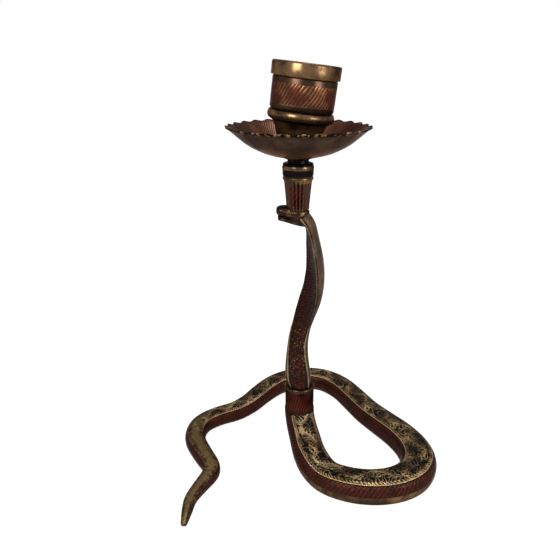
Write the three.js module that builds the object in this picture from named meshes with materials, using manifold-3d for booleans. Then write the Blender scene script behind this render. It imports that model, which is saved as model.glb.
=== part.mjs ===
// Cobra candle holder in cast brass. A snake lies on the table in an open loop with a waving tail, and its
// neck rises to a socket. The raised hood, with the head on it, plugs into that socket and twists a quarter
// turn on its way up. A turned post on the crown carries a scalloped drip pan and the candle cup, and one
// slotted screw inside the cup clamps them. The cup leans, as its screw is loose.
// Millimetres, +Z up. Build axes: the neck socket's axis is x = 0, y = 0, the table is z = 0 and the viewer
// stands at -Y. At the end the model is moved so that its origin is the bottom centre of its bounding box.
import * as THREE from 'three';
import { mergeVertices } from 'three/addons/utils/BufferGeometryUtils.js';
import Module from 'manifold-3d';

const wasm = await Module();
wasm.setup();

// Driving dimensions
const SEAT_GAP = 0.3; // clearance between pieces that seat on each other

const SOCKET_BORE_R = 3.5;
const SOCKET_FLOOR_Z = 17;
const NECK_SHOULDER_Z = 22;
const NECK_TENON_R = 5;
const NECK_TENON_TOP_Z = 29.8;

const FERRULE_OUTER_R = 6.4;
const FERRULE_LIP_Z = 33.6;

const HOOD_FOOT_R = 4.9;
const HOOD_BORE_DEPTH = 8;

const POST_X = -1.5;
const CROWN_Z = 110.9;
const POST_TENON_R = 2;
const POST_TENON_LENGTH = 3.5;
const POST_HEIGHT = 19.4;
const SCREW_HOLE_DEPTH = 8;

const WASHER_R = 5.4;
const WASHER_THICKNESS = 0.6;

const PAN_R = 27.4;
const PAN_DEPTH = 11;
const PAN_WALL = 1;
const PAN_SCALLOPS = 28;
const PAN_SCALLOP_RISE = 0.45;
const PAN_SCALLOP_REACH = 0.5;

const SCREW_R = 1.6;
const SCREW_HOLE_R = 2.2;
const CUP_HOLE_R = 3;
const SCREW_HEAD_R = 3.4;
const SCREW_HEAD_HEIGHT = 1.8;
const SCREW_SLOT_WIDTH = 0.8;
const SCREW_SLOT_DEPTH = 0.9;

const CUP_BORE_R = 11;
const CUP_BARREL_R = 12.1;
const CUP_BAND_R = 12.95;
const CUP_BEAD_R = 12.7;
const CUP_HEIGHT = 32.2;
const CUP_BAND_HEIGHT = 5;
const CUP_FOOT_R = 5.2;
const CUP_FLOOR = 3.4;
const CUP_LEAN = THREE.MathUtils.degToRad(6.8);
const CUP_SHIFT = -0.8;
const CUP_LIFT = 1.1; // foot's centre above the pan's floor, so that the leaning foot clears it

// Places that follow from the dimensions above
const hoodBottomZ = NECK_TENON_TOP_Z + SEAT_GAP;
const postBottomZ = CROWN_Z + SEAT_GAP;
const postTopZ = postBottomZ + POST_HEIGHT;
const washerZ = postTopZ + SEAT_GAP;
const panZ = washerZ + WASHER_THICKNESS + SEAT_GAP;
const panFloorZ = panZ + PAN_WALL;
const cupZ = panFloorZ + CUP_LIFT;
const screwWasherZ = cupZ + CUP_FLOOR + 0.7;

// The snake's centreline on the table, from the tail's tip to where the neck starts to rise: x, y, width
const GROUND_STATIONS = [
  [-45, -50, 2.4],
  [-44.6, -43, 4.3],
  [-44, -36, 5.3],
  [-40.8, -28, 6.4],
  [-37.2, -18.5, 7.8],
  [-42, -8, 8.8],
  [-47.2, 4.5, 9.5],
  [-45.6, 16, 9.9],
  [-38.4, 23.4, 10],
  [-30.2, 28, 10.3],
  [-23.6, 35, 10.8],
  [-17.8, 44.4, 11.5],
  [-9.6, 54.6, 12.2],
  [2.4, 60.4, 12.6],
  [14, 58.6, 12.8],
  [22.8, 49.8, 13],
  [28.6, 37.6, 13.2],
  [34, 25, 13.4],
  [40, 14.6, 13.8],
  [46, 4, 14.4],
  [49.8, -7.2, 15],
  [50, -18, 15.4],
  [45.4, -26.8, 15.4],
  [37.2, -31.8, 15.2],
  [27.2, -33, 15],
  [17.6, -30.6, 14.8],
  [9.8, -25, 14.4],
];
// The neck's centreline: x, y, z, width
const NECK_STATIONS = [
  [4.6, -17, 8.2, 13.9],
  [2.2, -8.8, 12.6, 13.3],
  [0.7, -3, 16.4, 12.9],
  [0.1, -0.4, 19.6, 12.8],
  [0, 0, NECK_SHOULDER_Z - SEAT_GAP, 12.8],
];
const BODY_HEIGHT_RATIO = 0.8; // height over width of the body on the table
const BODY_FLAT = 0.9; // share of the half height at which the underside is flat
const NECK_HEIGHT_RATIO = 0.92;
const NECK_HEADING = new THREE.Vector3(-0.32, 0.95, 0).normalize();

// The hood and its stalk, bottom to top: x and z of its edges' mid line, half width across, bulge of its
// back, height of its belly side (below zero it is hollow), and the angle in degrees by which its belly
// faces the viewer: 90 is straight at the viewer and 0 is to the left.
const HOOD_STATIONS = [
  [0, hoodBottomZ, HOOD_FOOT_R, HOOD_FOOT_R, HOOD_FOOT_R, 90],
  [-0.1, 34, HOOD_FOOT_R, HOOD_FOOT_R, HOOD_FOOT_R, 90],
  [-0.7, 38, 5.5, 4.6, 4.2, 90],
  [-1.1, 44, 5.1, 4.1, 3.4, 86],
  [-1.1, 50, 4.6, 3.7, 2.6, 75],
  [-0.8, 55.5, 4.6, 3.4, 1.4, 59],
  [0.2, 62, 5.2, 3.5, 0, 38],
  [1.6, 68.4, 6.8, 4.3, -1.2, 25],
  [3.3, 75.5, 9.2, 5, -2.3, 14],
  [4, 82, 11, 5.3, -2.8, 9],
  [3.9, 88.5, 11.8, 5.3, -2.8, 7],
  [3.4, 94.5, 11, 4.9, -2.5, 6],
  [2.9, 100, 8.8, 4.1, -1.4, 5],
  [1.6, 104.8, 6.4, 4.1, 0.6, 4],
  [-0.9, 108.6, 5.2, 3.8, 3.2, 3],
];
const HEAD_LENGTH = 11.5;

// A closed mesh of one piece as a solid
function solid(geometry) {
  const bare = geometry.clone();
  for (const name of Object.keys(bare.attributes)) {
    if (name !== 'position') bare.deleteAttribute(name);
  }
  const merged = mergeVertices(bare, 1e-4);
  return new wasm.Manifold(new wasm.Mesh({
    numProp: 3,
    vertProperties: merged.attributes.position.array,
    triVerts: new Uint32Array(merged.index.array),
  }));
}

function geometryOf(manifold) {
  const mesh = manifold.getMesh();
  const geometry = new THREE.BufferGeometry();
  geometry.setAttribute('position', new THREE.BufferAttribute(mesh.vertProperties, 3));
  geometry.setIndex(new THREE.BufferAttribute(mesh.triVerts, 1));
  return geometry;
}

// A skin through rings of equally many points, closed by a fan at each end
function loft(rings) {
  const count = rings[0].length;
  const positions = [];
  const indices = [];
  rings.forEach((ring) => ring.forEach((p) => positions.push(p.x, p.y, p.z)));
  for (let i = 0; i + 1 < rings.length; i++) {
    for (let k = 0; k < count; k++) {
      const a = i * count + k;
      const b = i * count + (k + 1) % count;
      indices.push(a, b, b + count, a, b + count, a + count);
    }
  }
  const capEnd = (ring, first, turn) => {
    const centre = ring.reduce((sum, p) => sum.add(p), new THREE.Vector3()).divideScalar(count);
    const hub = positions.length / 3;
    positions.push(centre.x, centre.y, centre.z);
    for (let k = 0; k < count; k++) {
      const a = first + k;
      const b = first + (k + 1) % count;
      indices.push(hub, ...(turn ? [b, a] : [a, b]));
    }
  };
  capEnd(rings[0], 0, true);
  capEnd(rings[rings.length - 1], (rings.length - 1) * count, false);
  const geometry = new THREE.BufferGeometry();
  geometry.setAttribute('position', new THREE.Float32BufferAttribute(positions, 3));
  geometry.setIndex(indices);
  return geometry;
}

// A turned piece: its profile's points are radius and height, counted from its foot at z
function turned(points, segments, x, z) {
  const profile = points.map(([r, h]) => new THREE.Vector2(r, h));
  const geometry = new THREE.LatheGeometry([...profile, profile[0]], segments);
  geometry.rotateX(Math.PI / 2);
  geometry.translate(x, 0, z);
  return geometry;
}

function rod(radius, bottom, top, x = 0, segments = 24) {
  return turned([[0, 0], [radius, 0], [radius, top - bottom], [0, top - bottom]], segments, x, bottom);
}

const superRound = (value, power) => Math.sign(value) * Math.abs(value) ** power;

// One section of the snake's body: broad rounded back, full flanks and a flat underside
function bodyRing(centre, lateral, up, width, height) {
  const points = 18;
  return Array.from({ length: points }, (_, k) => {
    const angle = (2 * Math.PI * k) / points;
    const across = -superRound(Math.cos(angle), 0.74) * width / 2;
    const rise = Math.max(superRound(Math.sin(angle), 0.84), -BODY_FLAT) * height / 2;
    return centre.clone().addScaledVector(lateral, across).addScaledVector(up, rise);
  });
}

function bodyLoft() {
  const ground = GROUND_STATIONS.map(([x, y, width]) => {
    const height = width * BODY_HEIGHT_RATIO;
    return { at: new THREE.Vector3(x, y, BODY_FLAT * height / 2), size: new THREE.Vector3(width, height, 0) };
  });
  const neck = NECK_STATIONS.map(([x, y, z, width]) => (
    { at: new THREE.Vector3(x, y, z), size: new THREE.Vector3(width, width * NECK_HEIGHT_RATIO, 0) }));
  const stations = [...ground, ...neck];
  const spine = new THREE.CatmullRomCurve3(stations.map((s) => s.at), false, 'centripetal');
  const sizes = new THREE.CatmullRomCurve3(stations.map((s) => s.size), false, 'centripetal');
  const steps = (stations.length - 1) * 2;
  const vertical = new THREE.Vector3(0, 0, 1);
  const rings = Array.from({ length: steps + 1 }, (_, i) => {
    const t = i / steps;
    const tangent = i === steps ? vertical.clone() : spine.getTangent(t);
    const heading = new THREE.Vector3(tangent.x, tangent.y, 0);
    heading.addScaledVector(NECK_HEADING, Math.max(0, 0.9 - heading.length()));
    const lateral = heading.cross(vertical).normalize();
    const up = lateral.clone().cross(tangent).normalize();
    const size = sizes.getPoint(t);
    const ring = bodyRing(spine.getPoint(t), lateral, up, size.x, size.y);
    ring.forEach((p) => { p.z = Math.max(p.z, 0); });
    return ring;
  });
  return loft(rings);
}

function snakeBody() {
  const tenon = solid(rod(NECK_TENON_R, SOCKET_FLOOR_Z + 2, NECK_TENON_TOP_Z, 0, 32));
  const bore = solid(rod(SOCKET_BORE_R, SOCKET_FLOOR_Z, NECK_TENON_TOP_Z + 1, 0, 24));
  return geometryOf(solid(bodyLoft()).add(tenon).subtract(bore));
}

// A band round the joint, with a bead at its foot and at its lip
function neckFerrule() {
  const height = FERRULE_LIP_Z - NECK_SHOULDER_Z;
  const inner = NECK_TENON_R + SEAT_GAP;
  const wall = FERRULE_OUTER_R - 0.25;
  return turned([
    [inner, 0], [FERRULE_OUTER_R, 0], [FERRULE_OUTER_R, 0.9], [wall, 1.3],
    [wall, height - 1.5], [FERRULE_OUTER_R, height - 1.1], [FERRULE_OUTER_R, height - 0.3],
    [FERRULE_OUTER_R - 0.3, height], [inner, height],
  ], 32, 0, NECK_SHOULDER_Z);
}

function hoodRing([x, z, half, back, belly, turn], tangent) {
  const side = 11;
  const angle = THREE.MathUtils.degToRad(turn);
  const bellyWay = new THREE.Vector3(-Math.cos(angle), -Math.sin(angle), 0);
  const lateral = tangent.clone().cross(bellyWay).normalize();
  const outward = lateral.clone().cross(tangent).normalize();
  const centre = new THREE.Vector3(x, 0, z);
  const place = (u, n) => centre.clone().addScaledVector(lateral, half * u).addScaledVector(outward, n);
  const ring = [];
  for (let k = 0; k <= side; k++) {
    const u = -Math.cos((Math.PI * k) / side);
    ring.push(place(u, belly * (1 - u * u) ** (belly > 0 ? 0.5 : 0.8)));
  }
  for (let k = 1; k < side; k++) {
    const u = Math.cos((Math.PI * k) / side);
    ring.push(place(u, -back * Math.sqrt(1 - u * u)));
  }
  return ring;
}

function hoodLoft() {
  const line = new THREE.CatmullRomCurve3(
    HOOD_STATIONS.map(([x, z]) => new THREE.Vector3(x, 0, z)), false, 'centripetal');
  const half = new THREE.CatmullRomCurve3(
    HOOD_STATIONS.map(([, , w, b, v]) => new THREE.Vector3(w, b, v)), false, 'centripetal');
  const turns = HOOD_STATIONS.map((s) => s[5]);
  const perStation = 3;
  const steps = (HOOD_STATIONS.length - 1) * perStation;
  const rings = Array.from({ length: steps + 1 }, (_, i) => {
    const t = i / steps;
    const place = line.getPoint(t);
    const size = half.getPoint(t);
    const low = Math.min(Math.floor(i / perStation), turns.length - 2);
    const turn = THREE.MathUtils.lerp(turns[low], turns[low + 1], i / perStation - low);
    const tangent = i === 0 ? new THREE.Vector3(0, 0, 1) : line.getTangent(t);
    return hoodRing([place.x, place.z, size.x, size.y, size.z, turn], tangent);
  });
  return loft(rings);
}

// A jaw as a row of elliptic rings along -X: x, middle height, half width, half height
function jaw(stations) {
  const points = 14;
  const rings = stations.map(([x, z, wide, high]) => Array.from({ length: points }, (_, k) => {
    const angle = (2 * Math.PI * k) / points;
    return new THREE.Vector3(x, -Math.cos(angle) * wide, z + Math.sin(angle) * high);
  }));
  return solid(loft(rings));
}

function bead(x, y, z, radius) {
  const ball = new THREE.SphereGeometry(radius, 12, 8);
  ball.translate(x, y, z);
  return solid(ball);
}

function head() {
  const back = 2.2;
  const snout = back - HEAD_LENGTH;
  const upper = jaw([
    [back, CROWN_Z - 2, 3.6, 2], [back - 3, CROWN_Z - 2, 4.9, 3], [back - 6.5, CROWN_Z - 1.2, 4.9, 2.8],
    [snout + 2.6, CROWN_Z - 0.3, 4.1, 2.4], [snout, CROWN_Z - 0.2, 3.3, 1.9], [snout - 0.7, CROWN_Z - 0.2, 2.2, 1.1],
  ]);
  const lower = jaw([
    [back, CROWN_Z - 5, 3.4, 2], [back - 3, CROWN_Z - 4.6, 4.4, 1.8], [back - 6.5, CROWN_Z - 3.9, 4.2, 1.5],
    [snout + 2.6, CROWN_Z - 3.2, 3.6, 1.4], [snout + 0.5, CROWN_Z - 3, 2.9, 1.3], [snout - 0.1, CROWN_Z - 3, 2, 0.8],
  ]);
  const crown = solid(rod(4.7, CROWN_Z - 4, CROWN_Z, POST_X, 24));
  const eyes = [-1, 1].map((way) => bead(snout + 3.6, way * 4, CROWN_Z + 0.2, 0.9));
  return upper.add(lower).add(crown).add(eyes[0]).add(eyes[1]);
}

function cobraHood() {
  const bore = solid(rod(SOCKET_BORE_R, hoodBottomZ - 1, hoodBottomZ + HOOD_BORE_DEPTH, 0, 24));
  const postHole = solid(rod(
    POST_TENON_R + SEAT_GAP, CROWN_Z - POST_TENON_LENGTH - SEAT_GAP, CROWN_Z + 6, POST_X, 20));
  const clear = solid(rod(6.5, CROWN_Z, CROWN_Z + 6, POST_X + 1.6, 24));
  return geometryOf(solid(hoodLoft()).add(head()).subtract(clear).subtract(bore).subtract(postHole));
}

function hoodSpigot() {
  const radius = SOCKET_BORE_R - SEAT_GAP;
  const bottom = SOCKET_FLOOR_Z + SEAT_GAP;
  const top = hoodBottomZ + HOOD_BORE_DEPTH - SEAT_GAP;
  const height = top - bottom;
  return turned([
    [0, 0], [radius - 0.6, 0], [radius, 0.6], [radius, height - 0.6], [radius - 0.6, height], [0, height],
  ], 24, 0, bottom);
}

// The post: fluted cone, gold and black rings, and a narrow neck under the pan
function candlePost() {
  const segments = 40;
  const flute = 0.22;
  const coneTop = 11.6;
  const outline = [
    [4.4, 0], [4.55, 0.7], [4.7, 3], [5, 6.5], [5.35, 10], [5.6, coneTop],
    [5.95, 12.2], [5.95, 12.9], [5.75, 13.2], [6.05, 13.7], [6.1, 16], [6.2, 16.4], [6.2, 16.9],
    [5.95, 17.3], [5.95, 18.2], [4.3, 18.4], [4.1, POST_HEIGHT],
  ];
  const body = turned([
    [0, 0], ...outline, [SCREW_R + SEAT_GAP, POST_HEIGHT],
    [SCREW_R + SEAT_GAP, POST_HEIGHT - SCREW_HOLE_DEPTH], [0, POST_HEIGHT - SCREW_HOLE_DEPTH],
  ], segments, 0, 0);
  const position = body.attributes.position;
  for (let i = 0; i < position.count; i++) {
    const x = position.getX(i);
    const y = position.getY(i);
    const radius = Math.hypot(x, y);
    const onCone = radius > 4 && position.getZ(i) > 0.3 && position.getZ(i) < coneTop - 0.3;
    const k = onCone ? 1 - (flute * (1 + Math.cos(20 * Math.atan2(y, x)))) / radius : 1;
    position.setXY(i, x * k, y * k);
  }
  body.translate(POST_X, 0, postBottomZ);
  const tenon = rod(POST_TENON_R, CROWN_Z - POST_TENON_LENGTH, postBottomZ + 1, POST_X, 20);
  return geometryOf(solid(body).add(solid(tenon)));
}

function panWasher() {
  return turned([
    [SCREW_HOLE_R, 0], [WASHER_R - 0.9, 0], [WASHER_R, WASHER_THICKNESS * 0.6],
    [WASHER_R, WASHER_THICKNESS], [SCREW_HOLE_R, WASHER_THICKNESS],
  ], 32, POST_X, washerZ);
}

// The drip pan: a dished plate whose edge is crimped up and down into scallops
function dripPan() {
  const segments = PAN_SCALLOPS * 4;
  const rim = PAN_R;
  const outside = [
    [SCREW_HOLE_R, 0], [5.4, 0], [0.31 * rim, 0.45], [0.485 * rim, 1.9], [0.657 * rim, 4.2],
    [0.83 * rim, PAN_DEPTH * 0.69], [0.955 * rim, PAN_DEPTH * 0.93], [rim, PAN_DEPTH * 0.98],
  ];
  const inside = [
    [rim, PAN_DEPTH + 0.6], [0.945 * rim, PAN_DEPTH + 0.3], [0.81 * rim, PAN_DEPTH * 0.69 + PAN_WALL],
    [0.64 * rim, 4.2 + PAN_WALL], [0.475 * rim, 1.9 + PAN_WALL], [0.3 * rim, 0.45 + PAN_WALL],
    [5.2, PAN_WALL], [SCREW_HOLE_R, PAN_WALL],
  ];
  const pan = turned([...outside, ...inside], segments, 0, 0);
  const position = pan.attributes.position;
  for (let i = 0; i < position.count; i++) {
    const x = position.getX(i);
    const y = position.getY(i);
    const radius = Math.hypot(x, y);
    const nearRim = THREE.MathUtils.smoothstep(radius, 0.8 * rim, rim);
    const wave = Math.cos(PAN_SCALLOPS * Math.atan2(y, x));
    const k = 1 + (nearRim * PAN_SCALLOP_REACH * wave) / Math.max(radius, 1);
    position.setXYZ(i, x * k, y * k, position.getZ(i) + nearRim * PAN_SCALLOP_RISE * wave);
  }
  pan.translate(POST_X, 0, panZ);
  return pan;
}

// The candle cup: small foot, flared bowl, bead, barrel and plain top band, and a bore for the candle
function candleCup() {
  const bandFoot = CUP_HEIGHT - CUP_BAND_HEIGHT;
  const cup = turned([
    [CUP_HOLE_R, 0], [CUP_FOOT_R, 0], [CUP_FOOT_R + 0.8, 0.5], [7.4, 3], [8.7, 6.4], [9.4, 8.8],
    [10.3, 10.7], [11, 11.2], [CUP_BEAD_R - 0.5, 11.9], [CUP_BEAD_R, 13.3], [CUP_BEAD_R - 0.4, 14.7],
    [CUP_BARREL_R - 0.4, 15.2], [CUP_BARREL_R, 15.9], [CUP_BARREL_R + 0.1, bandFoot - 0.7],
    [CUP_BARREL_R - 0.2, bandFoot - 0.2], [CUP_BAND_R, bandFoot], [CUP_BAND_R + 0.05, CUP_HEIGHT - 0.5],
    [CUP_BAND_R - 0.3, CUP_HEIGHT], [CUP_BORE_R + 0.4, CUP_HEIGHT], [CUP_BORE_R, CUP_HEIGHT - 0.5],
    [CUP_BORE_R, 15], [9.6, 13.4], [8.4, 9], [6.6, 5.2], [SCREW_HEAD_R + 1.2, CUP_FLOOR + 0.2],
    [CUP_HOLE_R, CUP_FLOOR],
  ], 40, 0, 0);
  cup.rotateY(CUP_LEAN);
  cup.translate(POST_X + CUP_SHIFT, 0, cupZ);
  return cup;
}

function screwWasher() {
  const thickness = 0.5;
  return turned([
    [SCREW_R + SEAT_GAP, 0], [SCREW_HEAD_R + 0.5, 0], [SCREW_HEAD_R + 0.5, thickness],
    [SCREW_R + SEAT_GAP, thickness],
  ], 24, POST_X, screwWasherZ);
}

function cupScrew() {
  const seat = screwWasherZ + 0.5 + SEAT_GAP;
  const tip = postTopZ - SCREW_HOLE_DEPTH + SEAT_GAP;
  const length = seat - tip;
  const top = length + SCREW_HEAD_HEIGHT;
  const blank = turned([
    [0, 0], [SCREW_R - 0.4, 0], [SCREW_R, 0.5], [SCREW_R, length], [SCREW_HEAD_R, length],
    [SCREW_HEAD_R, top - 0.6], [SCREW_HEAD_R - 0.8, top], [0, top],
  ], 24, POST_X, tip);
  const slot = new THREE.BoxGeometry(SCREW_HEAD_R * 2 + 2, SCREW_SLOT_WIDTH, SCREW_SLOT_DEPTH * 2);
  slot.rotateZ(0.6);
  slot.translate(POST_X, 0, tip + top);
  return geometryOf(solid(blank).subtract(solid(slot)));
}

const finish = (color, roughness) => new THREE.MeshStandardMaterial({ color, roughness, metalness: 1 });
const enamelledBrass = finish(0x6e4a30, 0.42);
const brightBrass = finish(0xa9834a, 0.32);
const mellowBrass = finish(0x7d6a52, 0.38);
const steel = finish(0x77746e, 0.45);
const blackLacquer = new THREE.MeshStandardMaterial({ color: 0x14110f, roughness: 0.4, metalness: 0.1 });

const holder = new THREE.Group();
const add = (name, geometry, material) => {
  const mesh = new THREE.Mesh(geometry, material);
  mesh.name = name;
  holder.add(mesh);
};
add('snake_body', snakeBody(), enamelledBrass);
add('neck_ferrule', neckFerrule(), brightBrass);
add('hood_spigot', hoodSpigot(), brightBrass);
add('cobra_hood', cobraHood(), enamelledBrass);
add('candle_post', candlePost(), enamelledBrass);
add('pan_washer', panWasher(), blackLacquer);
add('drip_pan', dripPan(), mellowBrass);
add('candle_cup', candleCup(), brightBrass);
add('screw_washer', screwWasher(), brightBrass);
add('cup_screw', cupScrew(), steel);

const bounds = new THREE.Box3().setFromObject(holder, true);
holder.position.set(-(bounds.min.x + bounds.max.x) / 2, -(bounds.min.y + bounds.max.y) / 2, -bounds.min.z);

export default holder;
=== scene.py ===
"""Cobra candle holder in engraved and enamelled brass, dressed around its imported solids."""
import math

import bmesh
import bpy
from mathutils import Matrix, Vector


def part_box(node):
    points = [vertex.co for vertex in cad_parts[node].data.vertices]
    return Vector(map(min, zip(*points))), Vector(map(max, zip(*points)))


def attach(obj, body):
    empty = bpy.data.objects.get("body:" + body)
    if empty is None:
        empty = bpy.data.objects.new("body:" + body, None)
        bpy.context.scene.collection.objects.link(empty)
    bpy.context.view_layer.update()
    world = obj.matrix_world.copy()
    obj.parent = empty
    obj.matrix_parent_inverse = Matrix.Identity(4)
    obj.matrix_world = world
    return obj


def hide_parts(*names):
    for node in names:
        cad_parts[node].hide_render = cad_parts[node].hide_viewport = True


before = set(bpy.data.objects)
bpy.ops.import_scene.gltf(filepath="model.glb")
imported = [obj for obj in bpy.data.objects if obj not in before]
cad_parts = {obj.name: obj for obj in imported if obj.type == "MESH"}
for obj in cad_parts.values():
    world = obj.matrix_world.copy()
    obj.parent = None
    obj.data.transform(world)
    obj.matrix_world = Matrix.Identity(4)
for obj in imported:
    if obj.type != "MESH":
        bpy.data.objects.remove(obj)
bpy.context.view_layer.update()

bl_info = {
    "name": "Cobra Candle Holder",
    "version": (1, 0, 0),
    "blender": (4, 5, 0),
    "location": "3D View > Sidebar > Candle Holder",
    "description": "Models an engraved brass cobra that carries a drip pan and a candle cup",
    "category": "Add Mesh",
}

MM = 0.001
UV_NAME = "pattern"

# Boxes from the frame, and the two upright axes that the pieces stand on
ferrule_low, ferrule_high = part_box("neck_ferrule")
post_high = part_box("candle_post")[1]
pan_low, pan_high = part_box("drip_pan")
NECK_AXIS = Vector(((ferrule_low.x + ferrule_high.x) / 2, (ferrule_low.y + ferrule_high.y) / 2, 0))
POST_AXIS = Vector(((pan_low.x + pan_high.x) / 2, (pan_low.y + pan_high.y) / 2, 0))

# The snake's centre line on the table, tail first, in millimetres from the neck's axis: x, y, width
GROUND_STATIONS = [
    (-45, -50, 2.4), (-44.6, -43, 4.3), (-44, -36, 5.3), (-40.8, -28, 6.4), (-37.2, -18.5, 7.8),
    (-42, -8, 8.8), (-47.2, 4.5, 9.5), (-45.6, 16, 9.9), (-38.4, 23.4, 10), (-30.2, 28, 10.3),
    (-23.6, 35, 10.8), (-17.8, 44.4, 11.5), (-9.6, 54.6, 12.2), (2.4, 60.4, 12.6), (14, 58.6, 12.8),
    (22.8, 49.8, 13), (28.6, 37.6, 13.2), (34, 25, 13.4), (40, 14.6, 13.8), (46, 4, 14.4),
    (49.8, -7.2, 15), (50, -18, 15.4), (45.4, -26.8, 15.4), (37.2, -31.8, 15.2), (27.2, -33, 15),
    (17.6, -30.6, 14.8), (9.8, -25, 14.4),
]
# The neck's centre line: x, y, z, width
NECK_STATIONS = [
    (4.6, -17, 8.2, 13.9), (2.2, -8.8, 12.6, 13.3), (0.7, -3, 16.4, 12.9), (0.1, -0.4, 19.6, 12.8),
    (0, 0, 21.7, 12.8),
]
# The smooth skin takes this share of the width, which keeps it inside the solid
SKIN_SHARE = 0.984
BODY_HEIGHT_RATIO = 0.8
BODY_FLAT = 0.9
NECK_HEIGHT_RATIO = 0.92
# The way the neck faces where it is too steep to have a heading of its own
NECK_HEADING = Vector((-0.32, 0.95, 0)).normalized()
STEEP_NECK = 0.9
# Powers under 1 square the body's section, across it and upwards
ACROSS_POWER = 0.74
UPWARD_POWER = 0.84
BODY_POINTS = 28
BODY_RINGS_PER_STATION = 3
# The pattern counts the thin tail as at least this wide, in millimetres
LEAST_PATTERN_WIDTH = 4

# The hood and its stalk from the foot up: x and z of the edges' mid line, half width, bulge of the back,
# height of the belly side, and the angle in degrees by which the belly faces the viewer
HOOD_STATIONS = [
    (0, 30.1, 4.9, 4.9, 4.9, 90), (-0.1, 34, 4.9, 4.9, 4.9, 90), (-0.7, 38, 5.5, 4.6, 4.2, 90),
    (-1.1, 44, 5.1, 4.1, 3.4, 86), (-1.1, 50, 4.6, 3.7, 2.6, 75), (-0.8, 55.5, 4.6, 3.4, 1.4, 59),
    (0.2, 62, 5.2, 3.5, 0, 38), (1.6, 68.4, 6.8, 4.3, -1.2, 25), (3.3, 75.5, 9.2, 5, -2.3, 14),
    (4, 82, 11, 5.3, -2.8, 9), (3.9, 88.5, 11.8, 5.3, -2.8, 7), (3.4, 94.5, 11, 4.9, -2.5, 6),
    (2.9, 100, 8.8, 4.1, -1.4, 5), (1.6, 104.8, 6.4, 4.1, 0.6, 4), (-0.9, 108.6, 5.2, 3.8, 3.2, 3),
]
# Sizes in millimetres, with the head's back measured from the neck's axis
CROWN_Z = 110.9
HEAD_BACK = 2.2
HEAD_LENGTH = 11.5
JAW_POINTS = 20
POST_HEIGHT = 19.4
CUP_HEIGHT = 32.2
# The cup's foot stands this far above the pan's underside and this far beside the post's axis
CUP_RISE = 2.1
CUP_OFFSET = 0.8
# The world's light, and the glow that makes the floor white to the camera
WORLD_LIGHT = 0.7
FLOOR_GLOW = 1.12
FLOOR_GLOW_SHARE = 0.82


def centripetal_point(points, t):
    """A point of the smooth curve through all the points, at t from 0 to 1."""
    place = (len(points) - 1) * t
    low = min(int(place), len(points) - 2)
    weight = place - low
    p1, p2 = points[low], points[low + 1]
    p0 = points[low - 1] if low > 0 else p1 * 2 - p2
    p3 = points[low + 2] if low + 2 < len(points) else p2 * 2 - p1
    d0 = max((p1 - p0).length ** 0.5, 1e-4)
    d1 = max((p2 - p1).length ** 0.5, 1e-4)
    d2 = max((p3 - p2).length ** 0.5, 1e-4)
    leave = ((p1 - p0) / d0 - (p2 - p0) / (d0 + d1) + (p2 - p1) / d1) * d1
    arrive = ((p2 - p1) / d1 - (p3 - p1) / (d1 + d2) + (p3 - p2) / d2) * d1
    a = p1
    b = leave
    c = p1 * -3 + p2 * 3 - leave * 2 - arrive
    d = p1 * 2 - p2 * 2 + leave + arrive
    return a + b * weight + c * weight ** 2 + d * weight ** 3


def centripetal_tangent(points, t):
    """The direction of that curve at t."""
    step = 1e-4
    ahead = centripetal_point(points, min(1, t + step))
    behind = centripetal_point(points, max(0, t - step))
    return (ahead - behind).normalized()


def super_round(value, power):
    """A rounded-box version of a sine or cosine."""
    return math.copysign(abs(value) ** power, value)


def clear_selection():
    """Leaves object mode with nothing selected."""
    if bpy.context.object and bpy.context.object.mode != "OBJECT":
        bpy.ops.object.mode_set(mode="OBJECT")
    bpy.ops.object.select_all(action="DESELECT")


def make_active(piece):
    """Selects one piece alone."""
    clear_selection()
    piece.select_set(True)
    bpy.context.view_layer.objects.active = piece


def apply_subdivision(piece, levels):
    """Smooths the piece with a subdivision surface and applies it."""
    make_active(piece)
    modifier = piece.modifiers.new("smooth", "SUBSURF")
    modifier.levels = levels
    modifier.render_levels = levels
    bpy.ops.object.modifier_apply(modifier=modifier.name)


def shade_round(piece, degrees=38):
    """Smooth shading that keeps edges sharper than the angle."""
    make_active(piece)
    bpy.ops.object.shade_smooth_by_angle(angle=math.radians(degrees))


def finish_piece(piece, body, node, material):
    """Gives a finished piece its material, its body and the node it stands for."""
    piece.data.materials.clear()
    piece.data.materials.append(material)
    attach(piece, body)
    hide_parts(node)


def turned_piece(name, profile, segments, axis):
    """Spins a closed profile of radius and height, in metres, round an upright axis."""
    clear_selection()
    bpy.ops.mesh.primitive_plane_add(size=MM, location=(0, 0, 0))
    piece = bpy.context.object
    piece.name = name
    bpy.ops.object.mode_set(mode="EDIT")
    bpy.ops.mesh.select_all(action="SELECT")
    bpy.ops.mesh.merge(type="CENTER")
    first = profile[0]
    bpy.ops.transform.translate(value=(axis.x + first[0], axis.y, first[1]))
    previous = first
    for radius, height in profile[1:] + profile[:1]:
        step = (radius - previous[0], 0, height - previous[1])
        bpy.ops.mesh.extrude_region_move(TRANSFORM_OT_translate={"value": step})
        previous = (radius, height)
    bpy.ops.mesh.select_all(action="SELECT")
    bpy.ops.mesh.remove_doubles(threshold=1e-6)
    bpy.ops.mesh.spin(steps=segments, angle=2 * math.pi, center=axis, axis=(0, 0, 1), use_auto_merge=True)
    bpy.ops.mesh.select_all(action="SELECT")
    bpy.ops.mesh.remove_doubles(threshold=2e-6)
    bpy.ops.mesh.delete_loose()
    bpy.ops.mesh.select_all(action="SELECT")
    bpy.ops.mesh.normals_make_consistent(inside=False)
    bpy.ops.object.mode_set(mode="OBJECT")
    return piece


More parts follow.
